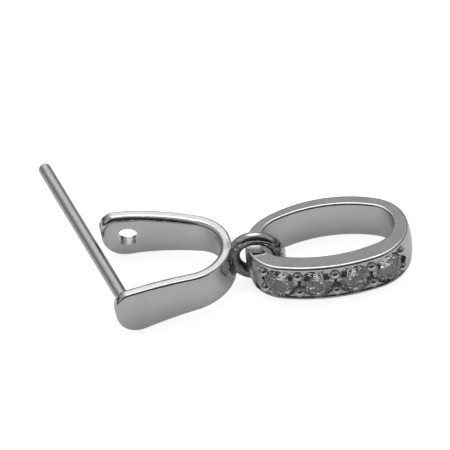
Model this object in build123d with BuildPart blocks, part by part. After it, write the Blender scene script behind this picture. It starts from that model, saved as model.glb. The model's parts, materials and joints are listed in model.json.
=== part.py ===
from build123d import *
import os
from math import atan2, cos, degrees, radians, sin, sqrt, tan

# Pinch bail finding: a spread strap clasp with a pin, linked to a stone-set oval bail.
#
# Millimetres, +Z up. The part lies on its edge as on a table: the clasp stands on its eye and
# on the lower corners of its two prongs, the bail on the lower rim of its round end.
# The origin is under the middle of the whole part, on the table.

# Where the eye's centre stands, how the two halves are turned about the vertical, and how far
# the clasp rises towards the eye and the bail falls from it until their far ends are down
eye_x, eye_y = 1.149, -3.423
clasp_turn = -6.6
clasp_rise = 1.5
bail_turn = -1.35
bail_fall = 1.0

# Eye: a closed wire ring, soldered to the outside of the strap's round end
eye_wire = 0.68
eye_radius = 1.13
eye_height = eye_radius + eye_wire / 2

# Strap: a band bent to a U, wider at its tongue ends than at its round end
strap_thickness = 0.6
band_at_bend = 1.84
band_at_tips = 2.64
taper_length = 6.0
bend_x = -1.09
outer_edge_round = 0.12
inner_edge_round = 0.25

# The arcs of the strap's outer face, from the eye to each tongue's end:
# radius (a negative one turns outward) and angle in degrees
far_arcs = ((2.46, 71.0), (13.7, 12.4), (7.3, 17.6))
near_arcs = ((2.46, 79.3), (-18.5, 7.8), (35.3, 2.4))
tongue_top_corner = 0.8
tongue_low_corner = 1.2

# Pin on the near prong and the hole that takes it in the far prong
pin_diameter = 0.66
pin_length = 12.3
pin_from_tip = 0.78
pin_lean = 4.5
pin_end_round = 0.2
hole_diameter = 1.08
hole_from_tip = 1.40

# Oval bail: outline of its rims as two end circles joined by two flatter side arcs
bail_height = 2.1
bail_dome = 0.13
outer_left, outer_right, outer_span = 2.16, 2.315, 3.6
outer_front, outer_back = 8.5, 6.28
inner_left, inner_right, inner_span = 1.46, 1.465, 3.75
inner_front, inner_back = 6.92, 6.23
inner_x, inner_y = 0.02, 0.21
outer_rim_round = 0.12
inner_rim_round = 0.1

# Neck: the end wall is filed in from above and from below to the height that fits in the eye
neck_x, neck_y = -1.74, 0.01
neck_turn = -12.0
neck_top, neck_bottom = 0.78, -0.22
neck_saddle = 0.9
neck_reach = 0.95

# Four round stones in a row along the front wall, held by shared beads
stone_names = ("stone_1", "stone_2", "stone_3", "stone_4")
stone_diameter = 1.7
stone_pitch = 1.887
first_stone_at = 2.774
stone_gap = 0.03
girdle_depth = 0.27
girdle_height = 0.04
crown_height = 0.25
pavilion_depth = 0.70
azure_radius = 0.30

# Slopes of the facets, and the radius of the table's corners
bezel_slope, star_slope, upper_slope = 34.8, 21.0, 40.5
main_slope, lower_slope = 40.9, 42.2

# The milled bed round the stones, its beads and the pits drilled between them
bed_depth = 0.16
bed_half_height = 0.88
bed_left_angle, bed_right_angle = 62.0, 51.0
bead_radius = 0.27
bead_spread = 0.52
bead_depth = 0.18
pit_radius = 0.19
pit_depth = 0.45


def leaning_plane(origin, turn, rise):
    """A plane turned about Z, whose x axis then rises, both in degrees."""
    t, r = radians(turn), radians(rise)
    along = (cos(r) * cos(t), cos(r) * sin(t), sin(r))
    upward = (-sin(r) * cos(t), -sin(r) * sin(t), cos(r))
    return Plane(origin, x_dir=along, z_dir=upward)


def inside(frame, plane):
    """A plane given in the coordinates of a frame."""
    return Plane(frame.location * plane.location)


clasp = leaning_plane((eye_x, eye_y, eye_height), clasp_turn, clasp_rise)
clasp_side = inside(clasp, Plane.XZ)

# The bail's end wall passes through the eye, and its far end has come down to the table
bail_reach = outer_span + outer_right - neck_x
neck_level = bail_height / 2 * cos(radians(bail_fall)) + bail_reach * sin(radians(bail_fall))
neck_plane = leaning_plane((eye_x, eye_y, neck_level), bail_turn, -bail_fall)
bail = inside(neck_plane, Plane((-neck_x, -neck_y, 0)))


def strap_outside(arcs, side):
    """Draw half of the strap's outer line from the eye; side is 1 for far, -1 for near."""
    point, heading = Vector(bend_x, 0), Vector(0, side)
    for radius, angle in arcs:
        turn = side * angle if radius > 0 else -side * angle
        arc = JernArc(point, heading, abs(radius), turn)
        point, heading = arc @ 1, arc % 1


def prong_plane(arcs, side, back):
    """The upright plane in the middle of a prong, set back from its end, z across it to far."""
    with BuildLine() as half:
        strap_outside(arcs, side)
    outer = half.wires()[0]
    share = 1 - back / outer.length
    outward = outer % share
    across = outward.cross(Vector(0, 0, 1))
    middle = outer @ share - across * side * strap_thickness / 2
    return inside(clasp, Plane(middle, x_dir=outward, z_dir=across))


def round_strap_edges(radii, edge_round):
    """Round the upper and lower edges of the upright faces that have one of these radii."""
    upright = Axis(clasp.origin, clasp.z_dir)
    faces = [f for f in pinch_clasp.faces().filter_by(GeomType.CYLINDER)
             if f.axis_of_rotation.is_parallel(upright)
             and any(abs(f.radius - abs(radius)) < strap_thickness / 10 for radius in radii)]
    fillet(ShapeList(faces).edges().filter_by(upright, reverse=True), radius=edge_round)


hole_plane = prong_plane(far_arcs, 1, hole_from_tip)
pin_plane = inside(prong_plane(near_arcs, -1, pin_from_tip), Plane.XY.rotated((0, pin_lean, 0)))

with BuildPart() as pinch_clasp:
    with BuildSketch(clasp):
        with BuildLine():
            strap_outside(far_arcs, 1)
            strap_outside(near_arcs, -1)
            offset(amount=strap_thickness, side=Side.LEFT)
        make_face()
    extrude(amount=band_at_tips, both=True)

    with BuildSketch(clasp_side):
        growth = (band_at_tips - band_at_bend) / 2 / taper_length
        half_at_eye = band_at_bend / 2 + bend_x * growth
        half_at_tail = half_at_eye + 2 * taper_length * growth
        upper = [(0, half_at_eye), (-2 * taper_length, half_at_tail)]
        lower = [(x, -z) for x, z in reversed(upper)]
        with BuildLine():
            Polyline(*upper, *lower, close=True)
        make_face()
    extrude(amount=band_at_tips * 3, both=True, mode=Mode.INTERSECT)

    upright = Axis(clasp.origin, clasp.z_dir)
    tips = pinch_clasp.faces().filter_by(GeomType.PLANE).sort_by(Axis(clasp.origin, clasp.x_dir))[:2]
    ends = tips.edges().filter_by(upright, reverse=True).sort_by(upright)
    fillet(ends[:2], radius=tongue_low_corner)
    ends = pinch_clasp.edges().filter_by(lambda e: e.length < strap_thickness * 1.01).sort_by(upright)
    fillet(ends[-2:], radius=tongue_top_corner)
    round_strap_edges([radius for radius, angle in far_arcs + near_arcs], outer_edge_round)
    round_strap_edges([radius - strap_thickness for radius, angle in far_arcs + near_arcs], inner_edge_round)

    with BuildSketch(hole_plane):
        Circle(hole_diameter / 2)
    extrude(amount=strap_thickness, both=True, mode=Mode.SUBTRACT)

    with BuildSketch(pin_plane):
        Circle(pin_diameter / 2)
    extrude(amount=pin_length)
    fillet(pinch_clasp.edges().filter_by(GeomType.CIRCLE).sort_by(Axis.Y)[-1], radius=pin_end_round)

    with BuildSketch(clasp):
        with Locations((eye_radius, 0)):
            Circle(eye_wire / 2)
    revolve(axis=Axis(clasp.origin, clasp.y_dir))


def side_arc(left, right, span, radius, side):
    """Centre and end angles of the arc that touches both end circles; side is 1 for back."""
    to_left, to_right = radius - left, radius - right
    x = (to_left**2 - to_right**2 + span**2) / (2 * span)
    y = -side * sqrt(to_left**2 - x**2)
    at_left = degrees(atan2(-y, -x))
    at_right = degrees(atan2(-y, span - x))
    return (x, y), at_left, at_right


def oval(left, right, span, front, back, grow=0.0):
    """Draw a closed oval about end circles at (0, 0) and (span, 0), set out by grow."""
    front_centre, front_left, front_right = side_arc(left, right, span, front, -1)
    back_centre, back_left, back_right = side_arc(left, right, span, back, 1)
    CenterArc(front_centre, front + grow, front_left, front_right - front_left)
    CenterArc((span, 0), right + grow, front_right, back_right - front_right)
    CenterArc(back_centre, back + grow, back_right, back_left - back_right)
    CenterArc((0, 0), left + grow, back_left, 360 + front_left - back_left)


def outer_oval(grow):
    oval(outer_left, outer_right, outer_span, outer_front, outer_back, grow)


def seat_plane(distance, height=0.0, depth=0.0):
    """The plane on the front wall's outer face, z outward, at a distance from its left end."""
    centre, at_left, at_right = side_arc(outer_left, outer_right, outer_span, outer_front, -1)
    with BuildLine() as front:
        CenterArc((0, 0), outer_left + bail_dome, -180, at_left + 180)
        CenterArc(centre, outer_front + bail_dome, at_left, at_right - at_left)
        CenterArc((outer_span, 0), outer_right + bail_dome, at_right, -at_right)
    path = front.wires()[0]
    share = distance / path.length
    outward = (path % share).cross(Vector(0, 0, 1))
    point = path @ share - outward * depth + Vector(0, 0, height)
    return inside(bail, Plane(point, x_dir=path % share, z_dir=outward))


seats = [seat_plane(first_stone_at + k * stone_pitch) for k in range(len(stone_names))]
gaps = [first_stone_at + (k - 0.5) * stone_pitch for k in range(len(stone_names) + 1)]
girdle_radius = stone_diameter / 2
table_radius = girdle_radius - crown_height / tan(radians(bezel_slope))
seat_depth = -girdle_depth - girdle_height - stone_gap
seat_cone = (girdle_radius + stone_gap - azure_radius) * tan(radians(main_slope))


def turned(plane, points):
    """Cut away what a closed outline of (radius, height) points sweeps about a plane's z axis."""
    with BuildSketch(inside(plane, Plane.XZ)) as outline:
        with BuildLine():
            Polyline(*points, close=True)
        make_face()
    revolve(outline.sketch, axis=Axis(plane.origin, plane.z_dir), mode=Mode.SUBTRACT)


with BuildPart() as oval_bail:
    for height, grow in ((-bail_height / 2, 0), (0, bail_dome), (bail_height / 2, 0)):
        with BuildSketch(bail.offset(height)):
            with BuildLine():
                outer_oval(grow)
            make_face()
    loft()
    fillet(oval_bail.faces().filter_by(GeomType.PLANE).edges(), radius=outer_rim_round)

    with BuildSketch(inside(bail, Plane((inner_x, inner_y, 0)))):
        with BuildLine():
            oval(inner_left, inner_right, inner_span, inner_front, inner_back)
        make_face()
    extrude(amount=bail_height, both=True, mode=Mode.SUBTRACT)
    opening = oval_bail.faces().filter_by(GeomType.CYLINDER)
    fillet(opening.edges().filter_by(Axis(bail.origin, bail.z_dir), reverse=True), radius=inner_rim_round)

    through = Vector(cos(radians(neck_turn)), sin(radians(neck_turn)), 0)
    for middle in (neck_top + neck_saddle, neck_bottom - neck_saddle):
        with BuildSketch(inside(bail, Plane((neck_x, neck_y, middle), z_dir=through))):
            Circle(neck_saddle)
        extrude(amount=neck_reach, both=True, mode=Mode.SUBTRACT)

    with BuildSketch(bail):
        with BuildLine():
            outer_oval(bail_dome + bed_depth)
        make_face()
        with BuildSketch(mode=Mode.SUBTRACT):
            with BuildLine():
                outer_oval(bail_dome - bed_depth)
            make_face()
        with BuildSketch(mode=Mode.INTERSECT):
            reach = 2 * outer_front
            left, right = radians(bed_left_angle), radians(bed_right_angle)
            far_left = (-reach * sin(left), -reach * cos(left))
            far_right = (outer_span + reach * sin(right), -reach * cos(right))
            Polygon((0, 0), far_left, far_right, (outer_span, 0), align=None)
    extrude(amount=bed_half_height, both=True, mode=Mode.SUBTRACT)

    for seat in seats:
        turned(seat, (
            (0, bed_depth),
            (girdle_radius + stone_gap, bed_depth),
            (girdle_radius + stone_gap, seat_depth),
            (azure_radius, seat_depth - seat_cone),
            (azure_radius, -2 * girdle_radius),
            (0, -2 * girdle_radius),
        ))

    for distance in gaps:
        with BuildSketch(seat_plane(distance)):
            Circle(pit_radius)
        extrude(amount=-pit_depth, mode=Mode.SUBTRACT)
        for side in (-1, 1):
            with Locations(seat_plane(distance, side * bead_spread, bead_depth)):
                Sphere(bead_radius)

    for seat in seats:
        turned(seat, (
            (0, stone_gap - girdle_depth + crown_height),
            (table_radius + stone_gap, stone_gap - girdle_depth + crown_height),
            (girdle_radius + stone_gap, stone_gap - girdle_depth),
            (girdle_radius + stone_gap, seat_depth),
            (azure_radius, seat_depth - seat_cone),
            (0, seat_depth - seat_cone),
        ))


def facet(seat, slope, azimuth, radius, height):
    """Cut away what lies outside a facet through a point at a radius and a height."""
    s, a = radians(slope), radians(azimuth)
    normal = Vector(sin(s) * cos(a), sin(s) * sin(a), cos(s))
    point = Vector(radius * cos(a), radius * sin(a), height)
    split(bisect_by=inside(seat, Plane(point, z_dir=normal)), keep=Keep.BOTTOM)


def brilliant(seat):
    """A round stone with a table, 32 crown facets, a girdle and 24 pavilion facets."""
    top, bottom = -girdle_depth, -girdle_depth - girdle_height
    with BuildPart() as stone:
        with BuildSketch(seat.offset(bottom - pavilion_depth)):
            Circle(girdle_radius)
        extrude(amount=pavilion_depth + girdle_height + crown_height)
        for k in range(8):
            facet(seat, bezel_slope, 45 * k, girdle_radius, top)
            facet(seat, star_slope, 45 * k + 22.5, table_radius * cos(radians(22.5)), top + crown_height)
            facet(seat, 180 - main_slope, 45 * k, girdle_radius, bottom)
        for k in range(16):
            facet(seat, upper_slope, 22.5 * k + 11.25, girdle_radius, top)
            facet(seat, 180 - lower_slope, 22.5 * k + 11.25, girdle_radius, bottom)
    return stone


os.makedirs("parts", exist_ok=True)

pinch_clasp.part.label = "pinch_clasp"
export_step(pinch_clasp.part, "parts/pinch_clasp.step")

oval_bail.part.label = "oval_bail"
export_step(oval_bail.part, "parts/oval_bail.step")

for name, seat in zip(stone_names, seats):
    stone = brilliant(seat)
    stone.part.label = name
    export_step(stone.part, f"parts/{name}.step")
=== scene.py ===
import json
from math import cos, radians, sin

import bpy
from mathutils import Matrix, Vector

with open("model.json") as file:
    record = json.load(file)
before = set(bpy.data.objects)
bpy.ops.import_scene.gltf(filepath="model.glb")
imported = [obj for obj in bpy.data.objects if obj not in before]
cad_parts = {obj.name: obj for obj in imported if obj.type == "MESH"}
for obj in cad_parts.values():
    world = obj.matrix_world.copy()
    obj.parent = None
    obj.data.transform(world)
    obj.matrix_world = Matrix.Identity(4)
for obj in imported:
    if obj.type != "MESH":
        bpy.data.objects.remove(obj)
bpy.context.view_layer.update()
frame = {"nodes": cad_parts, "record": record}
MM = 0.001

# Camera: the photograph's view, nearly without perspective
VIEW_ELEVATION = radians(42)
VIEW_ROLL = radians(10)
VIEW_DISTANCE = 0.33
VIEW_WIDTH = 22.5 * MM
VIEW_TARGET = Vector((-0.111, -0.585, 1.25)) * MM
SENSOR_WIDTH = 36.0
CLIP_START = 0.01
TOWARDS_CAMERA = Vector((0, -cos(VIEW_ELEVATION), sin(VIEW_ELEVATION)))


def direction(azimuth, elevation):
    """A unit vector: azimuth 0 is +Y, 90 is +X."""
    around, up = radians(azimuth), radians(elevation)
    return Vector((sin(around) * cos(up), cos(around) * cos(up), sin(up)))


# Light tent, in radiance: the sky is dark to LOW_SKY degrees of elevation and full from HIGH_SKY.
# The bright panel and the dark card are round: a direction, the degrees from it where each is still
# full and where it ends, and a strength, which for the card is the share of light it takes away.
HORIZON, SKY = 0.10, 0.50
LOW_SKY, HIGH_SKY = 12, 34
BRIGHT_PANEL = (direction(0, 66), 12, 20, 3.5)
DARK_CARD = (direction(180, 24), 38, 50, 0.88)
WHITE = (1, 1, 1, 1)

# Floor: its shade, its glow, and how much more of that glow the camera sees
FLOOR_HALF_SIZE = 1.5
FLOOR_DROP = 0.002 * MM
FLOOR_ALBEDO = 0.75
FLOOR_GLOW = 0.24
SEEN_GLOW = 0.56

# Colours: clean silver in two tones, filed silver that is also the painted highlight on the clasp's level
# edges, tarnish with painted shade, and the stones' two tones
BRIGHT_SILVER = (0.56, 0.558, 0.55, 1)
DULL_SILVER = (0.52, 0.52, 0.515, 1)
FILED_AND_HIGHLIT_SILVER = (0.7, 0.698, 0.69, 1)
TARNISH_AND_PAINTED_SHADE = (0.1, 0.098, 0.092, 1)
CLEAR_STONE = (0.96, 0.97, 0.98, 1)
GREY_STONE = (0.9, 0.91, 0.92, 1)

# Noises, whose place is in millimetres: scale, detail and roughness
WAVES = (0.7, 1.0, 0.5)
RIPPLES = (5.0, 2.0, 0.5)
GRAIN = (16.0, 3.0, 0.7)
SCRATCH_NOISE = (1.0, 2.0, 0.6)
HAZE = (6.0, 3.0, 0.5)
PIT_SCALE = 2.6

# Scratches, a set on each row: how much finer the noise is along each axis, its turn in radians,
# and the noise where a scratch starts and where it is full
SCRATCH_SETS = (
    ((3, 60, 60), (0.3, 0.2, 0.4), 0.68, 0.8),
    ((50, 3, 50), (0.5, 0.9, 0.2), 0.7, 0.82),
)

# Smooth steps: the values where the step starts and ends, and what it gives there if not 0 and 1.
# A slope is the height of the surface's normal, which is 1 on a face that looks straight up.
TONE_BY_WAVES = (0.35, 0.7)
POLISH_BY_RIPPLES = (0.3, 0.75, 0.07, 0.14)
RAGGED_BY_RIPPLES = (0.3, 0.7, -0.12, 0.12)
# The tarnish and painted shade round the eye follow the grain and fade on faces that look up, which are
# painted lighter.
TARNISH_AND_SHADE_BY_GRAIN = (0.3, 0.7, 0.6, 1.0)
TARNISH_AND_SHADE_BY_SLOPE = (0.82, 0.95, 1.0, 0.15)
LEVEL_BY_SLOPE = (0.93, 0.985)
SLOPING_BY_SLOPE = (0.4, 0.75)
NOT_LEVEL_BY_SLOPE = (0.975, 0.995, 1.0, 0.0)
PIT_BY_DISTANCE = (0.03, 0.06, 1.0, 0.0)
ROUGH_BY_HAZE = (0.5, 0.8, 0.0, 0.06)

# Silver's marks: the roughness that each adds, how pale filing is, and their relief in millimetres
SCRATCHED_ROUGH, DARK_ROUGH, FILED_ROUGH, DRAWN_ROUGH = 0.12, 0.06, 0.3, 0.24
FILED_PALE = 0.7
WAVE_RELIEF, RIPPLE_RELIEF, FILED_RELIEF = 0.008, 0.001, 0.03
SCRATCH_DEPTH, PIT_DEPTH = 0.0015, 0.01
RELIEF_STRENGTH = 0.5

# Where the marks lie, in millimetres: spots have a soft edge each side of their radius, and the wire
# fades in from its foot and ends just outside its surface
SPOT_EDGE = 0.15
WIRE_EDGE = 0.05
FOOT_EDGE = 0.1
SOLDER_FROM_EYE = Vector((-1.05, 0.1, 0.9))
HOLE = Vector((-4.97, 0.03, 1.32))
EYE_RADIUS, SOLDER_RADIUS, HOLE_RADIUS, NECK_RADIUS = 1.32, 0.4, 0.5, 0.8

# What is added to the roughness of the clasp's level edges, which are also painted paler as a painted
# highlight, and of the bail's rims and beads
MATT_AND_HIGHLIT_EDGES = 0.38
SOFT_TOPS = 0.2

# Stones
STONE_INDEX = 2.1
STONE_CLEARNESS = 0.96
STONES = ("stone_1", "stone_2", "stone_3", "stone_4")


class Nodes:
    """Adds shader nodes to a tree, and links or sets their sockets by name or number."""

    def __init__(self, tree):
        self.tree = tree
        tree.nodes.clear()

    def add(self, kind, inputs=(), **settings):
        node = self.tree.nodes.new(kind)
        for key, value in settings.items():
            setattr(node, key, value)
        for socket, value in dict(inputs).items():
            self.put(node, socket, value)
        return node

    def put(self, node, socket, value):
        if isinstance(value, bpy.types.NodeSocket):
            self.tree.links.new(value, node.inputs[socket])
        elif isinstance(value, bpy.types.Node):
            self.tree.links.new(value.outputs[0], node.inputs[socket])
        else:
            node.inputs[socket].default_value = value

    def math(self, operation, first, second=0.0):
        return self.add("ShaderNodeMath", {0: first, 1: second}, operation=operation).outputs[0]

    def vector_math(self, operation, first, second=(0, 0, 0)):
        outputs = self.add("ShaderNodeVectorMath", {0: first, 1: second}, operation=operation).outputs
        gives_number = operation in ("DISTANCE", "DOT_PRODUCT", "LENGTH")
        return outputs["Value" if gives_number else "Vector"]

    def total(self, start, *parts):
        """The start plus each part, which is a value and its factor."""
        for value, factor in parts:
            start = self.math("ADD", start, self.math("MULTIPLY", value, factor))
        return start

    def smooth(self, value, low, high, to_low=0.0, to_high=1.0):
        return self.add(
            "ShaderNodeMapRange",
            {"Value": value, "From Min": low, "From Max": high, "To Min": to_low, "To Max": to_high},
            interpolation_type="SMOOTHSTEP",
        ).outputs[0]

    def noise(self, place, scale, detail, roughness):
        return self.add(
            "ShaderNodeTexNoise",
            {"Vector": place, "Scale": scale, "Detail": detail, "Roughness": roughness},
        ).outputs["Fac"]

    def scaled(self, place, scale, turn=(0, 0, 0)):
        return self.add("ShaderNodeMapping", {"Vector": place, "Scale": scale, "Rotation": turn}).outputs[0]

    def in_millimetres(self, place):
        return self.scaled(place, (1 / MM, 1 / MM, 1 / MM))

    def mix(self, share, first, second):
        """The first colour where the share is 0, the second where it is 1."""
        return self.add(
            "ShaderNodeMix", {"Factor": share, "A": first, "B": second}, data_type="RGBA",
        ).outputs["Result"]


def new_material(name):
    """A material and its empty node tree."""
    material = bpy.data.materials.new(name)
    material.use_nodes = True
    return material, Nodes(material.node_tree)


def make_camera():
    camera = bpy.data.objects.new("camera", bpy.data.cameras.new("camera"))
    bpy.context.collection.objects.link(camera)
    camera.data.sensor_width = SENSOR_WIDTH
    camera.data.lens = SENSOR_WIDTH * VIEW_DISTANCE / VIEW_WIDTH
    camera.data.clip_start = CLIP_START
    turn = TOWARDS_CAMERA.to_track_quat("Z", "Y").to_matrix().to_4x4()
    place = Matrix.Translation(VIEW_TARGET + TOWARDS_CAMERA * VIEW_DISTANCE)
    camera.matrix_world = place @ turn @ Matrix.Rotation(-VIEW_ROLL, 4, "Z")
    bpy.context.scene.camera = camera


def cap(nodes, ray, towards, inner, outer, strength):
    """The strength within inner degrees of a direction, falling to 0 at outer degrees."""
    closeness = nodes.vector_math("DOT_PRODUCT", ray, towards)
    return nodes.smooth(closeness, cos(radians(outer)), cos(radians(inner)), 0.0, strength)


def make_world():
    """A light tent: a sky over a dark horizon, a bright panel high behind, dark round the camera."""
    world = bpy.data.worlds.new("tent")
    bpy.context.scene.world = world
    world.use_nodes = True
    nodes = Nodes(world.node_tree)
    ray = nodes.add("ShaderNodeTexCoord").outputs["Generated"]
    height = nodes.add("ShaderNodeSeparateXYZ", {0: ray}).outputs["Z"]
    light = nodes.smooth(height, sin(radians(LOW_SKY)), sin(radians(HIGH_SKY)), HORIZON, SKY)
    light = nodes.math("ADD", light, cap(nodes, ray, *BRIGHT_PANEL))
    light = nodes.math("MULTIPLY", light, nodes.math("SUBTRACT", 1.0, cap(nodes, ray, *DARK_CARD)))
    background = nodes.add("ShaderNodeBackground", {"Color": WHITE, "Strength": light})
    nodes.add("ShaderNodeOutputWorld", {"Surface": background})


def floor_material():
    """White paper that glows, and more so where the camera sees it directly."""
    material, nodes = new_material("floor")
    sheet = nodes.add("ShaderNodeBsdfDiffuse", {"Color": (FLOOR_ALBEDO, FLOOR_ALBEDO, FLOOR_ALBEDO, 1)})
    seen = nodes.add("ShaderNodeLightPath").outputs["Is Camera Ray"]
    glow = nodes.add("ShaderNodeEmission", {"Strength": nodes.total(FLOOR_GLOW, (seen, SEEN_GLOW))})
    both = nodes.add("ShaderNodeAddShader", {0: sheet, 1: glow})
    nodes.add("ShaderNodeOutputMaterial", {"Surface": both})
    return material


def make_floor():
    """A wide level sheet just under the part."""
    size = FLOOR_HALF_SIZE
    corners = [(-size, -size, 0), (size, -size, 0), (size, size, 0), (-size, size, 0)]
    mesh = bpy.data.meshes.new("floor")
    mesh.from_pydata(corners, [], [(0, 1, 2, 3)])
    floor = bpy.data.objects.new("floor", mesh)
    bpy.context.collection.objects.link(floor)
    floor.location.z = -FLOOR_DROP
    floor.data.materials.append(floor_material())


def scratch_mask(nodes, place):
    """1 in a scratch, 0 beside it."""
    mask = 0.0
    for stretch, turn, low, high in SCRATCH_SETS:
        streaks = nodes.noise(nodes.scaled(place, stretch, turn), *SCRATCH_NOISE)
        mask = nodes.math("MAXIMUM", mask, nodes.smooth(streaks, low, high))
    return mask


def pit_mask(nodes, place):
    """1 in a pit, 0 beside it."""
    pits = nodes.add("ShaderNodeTexVoronoi", {"Vector": place, "Scale": PIT_SCALE})
    return nodes.smooth(pits.outputs["Distance"], *PIT_BY_DISTANCE)


def spot_mask(nodes, place, ripples, spots):
    """1 inside any of the spheres, with a ragged edge, 0 outside them."""
    mask = 0.0
    for centre, radius in spots:
        away = nodes.vector_math("DISTANCE", place, centre)
        ragged = nodes.math("ADD", away, nodes.smooth(ripples, *RAGGED_BY_RIPPLES))
        inside = nodes.smooth(ragged, radius - SPOT_EDGE, radius + SPOT_EDGE, 1.0, 0.0)
        mask = nodes.math("MAXIMUM", mask, inside)
    return mask


def wire_mask(nodes, place, middle, along, radius, length):
    """1 on a round wire from its foot on, 0 beside it and before its foot."""
    offset = nodes.vector_math("SUBTRACT", place, middle)
    away = nodes.vector_math("LENGTH", nodes.vector_math("CROSS_PRODUCT", offset, along))
    foot = -length / 2
    on_wire = nodes.smooth(away, radius, radius + WIRE_EDGE, 1.0, 0.0)
    past_foot = nodes.smooth(nodes.vector_math("DOT_PRODUCT", offset, along), foot, foot + FOOT_EDGE)
    return nodes.math("MULTIPLY", on_wire, past_foot)


def silver(name, tarnish_and_shade_spots=(), filed_spots=(), wire=None, matt_and_highlit_edges=0.0, soft_tops=0.0):
    """Polished silver with fine scratches and pits.

    Spots are spheres, a centre and a radius in millimetres: dark ones carry tarnish and painted shade,
    lighter on faces that look up, and filed ones are matt and scored. A wire is its middle, direction,
    radius and length, and it is satin. The edges' value is the roughness added to level faces, which are
    a strap's filed edges and are then also painted paler, a painted highlight, and soft tops is what is
    added to faces that slope up, which are rounded rims and worn beads.
    """
    material, nodes = new_material(name)
    where = nodes.add("ShaderNodeTexCoord")
    place = nodes.in_millimetres(where.outputs["Object"])
    slope = nodes.add("ShaderNodeSeparateXYZ", {0: where.outputs["Normal"]}).outputs["Z"]
    waves = nodes.noise(place, *WAVES)
    ripples = nodes.noise(place, *RIPPLES)
    grain = nodes.noise(place, *GRAIN)

    scratches = scratch_mask(nodes, place)
    dark = spot_mask(nodes, place, ripples, tarnish_and_shade_spots)
    filed = spot_mask(nodes, place, ripples, filed_spots)
    drawn = wire_mask(nodes, place, *wire) if wire else 0.0
    clean = nodes.math("SUBTRACT", 1.0, dark)
    level = nodes.math("MULTIPLY", nodes.smooth(slope, *LEVEL_BY_SLOPE), clean)
    not_level = nodes.smooth(slope, *NOT_LEVEL_BY_SLOPE)
    sloping = nodes.math("MULTIPLY", nodes.smooth(slope, *SLOPING_BY_SLOPE), not_level)

    rough = nodes.total(
        nodes.smooth(ripples, *POLISH_BY_RIPPLES),
        (scratches, SCRATCHED_ROUGH),
        (dark, DARK_ROUGH),
        (filed, FILED_ROUGH),
        (drawn, DRAWN_ROUGH),
        (level, matt_and_highlit_edges),
        (sloping, soft_tops),
    )

    tone = nodes.mix(nodes.smooth(waves, *TONE_BY_WAVES), BRIGHT_SILVER, DULL_SILVER)
    # Where the edges' roughness is set, level faces are painted paler, a painted highlight on the clasp's
    # top edges; filed spots are paler silver for real.
    painted_highlight_edges = level if matt_and_highlit_edges else 0.0
    filed_and_highlit = nodes.math("MAXIMUM", painted_highlight_edges, nodes.math("MULTIPLY", filed, FILED_PALE))
    tone = nodes.mix(filed_and_highlit, tone, FILED_AND_HIGHLIT_SILVER)
    # Tarnish and painted shade darken the dark spots, following the grain, and less on faces that look up.
    tarnish_and_shade = nodes.math("MULTIPLY", dark, nodes.smooth(grain, *TARNISH_AND_SHADE_BY_GRAIN))
    tarnish_and_shade = nodes.math("MULTIPLY", tarnish_and_shade, nodes.smooth(slope, *TARNISH_AND_SHADE_BY_SLOPE))
    tone = nodes.mix(tarnish_and_shade, tone, TARNISH_AND_PAINTED_SHADE)

    height = nodes.total(
        0.0,
        (waves, WAVE_RELIEF),
        (ripples, RIPPLE_RELIEF),
        (nodes.math("MULTIPLY", grain, filed), FILED_RELIEF),
        (scratches, -SCRATCH_DEPTH),
        (pit_mask(nodes, place), -PIT_DEPTH),
    )
    bump = nodes.add("ShaderNodeBump", {"Height": height, "Strength": RELIEF_STRENGTH, "Distance": MM})
    shader = nodes.add(
        "ShaderNodeBsdfPrincipled",
        {"Base Color": tone, "Roughness": rough, "Metallic": 1.0, "Normal": bump},
    )
    nodes.add("ShaderNodeOutputMaterial", {"Surface": shader})
    return material


def crystal():
    """Clear cut stone with faint patches of haze."""
    material, nodes = new_material("crystal")
    place = nodes.in_millimetres(nodes.add("ShaderNodeTexCoord").outputs["Object"])
    haze = nodes.noise(place, *HAZE)
    shader = nodes.add(
        "ShaderNodeBsdfPrincipled",
        {
            "Base Color": nodes.mix(haze, CLEAR_STONE, GREY_STONE),
            "Roughness": nodes.smooth(haze, *ROUGH_BY_HAZE),
            "IOR": STONE_INDEX,
            "Transmission Weight": STONE_CLEARNESS,
        },
    )
    nodes.add("ShaderNodeOutputMaterial", {"Surface": shader})
    return material


def dress(node, material):
    """Gives a solid of the frame its material."""
    mesh = frame["nodes"][node].data
    mesh.materials.clear()
    mesh.materials.append(material)


def clasp_silver(eye):
    """Tarnished and painted with shade round the eye, filed at the solder and the hole, with a satin pin
    and matt edges painted paler as a highlight.
    """
    mounts = {mount["name"]: mount for mount in frame["record"]["mounts"]}
    pin = mounts["pin"]
    middle = Vector(pin["pos_m"]) / MM
    along = Vector(pin["axis"]).normalized()
    return silver(
        "clasp_silver",
        tarnish_and_shade_spots=((eye, EYE_RADIUS),),
        filed_spots=((eye + SOLDER_FROM_EYE, SOLDER_RADIUS), (HOLE, HOLE_RADIUS)),
        wire=(middle, along, pin["dims"]["r_mm"], pin["dims"]["length_mm"]),
        matt_and_highlit_edges=MATT_AND_HIGHLIT_EDGES,
    )


def bail_silver(eye):
    """Filed at the neck inside the eye, with soft rims and beads."""
    return silver("bail_silver", filed_spots=((eye, NECK_RADIUS),), soft_tops=SOFT_TOPS)


bpy.context.scene.view_settings.view_transform = "Standard"
make_camera()
make_world()
make_floor()

swing = frame["record"]["behaviour"]["joints"][0]
eye_centre = Vector(swing["pos_m"]) / MM
dress("pinch_clasp", clasp_silver(eye_centre))
dress("oval_bail", bail_silver(eye_centre))
stone = crystal()
for name in STONES:
    dress(name, stone)
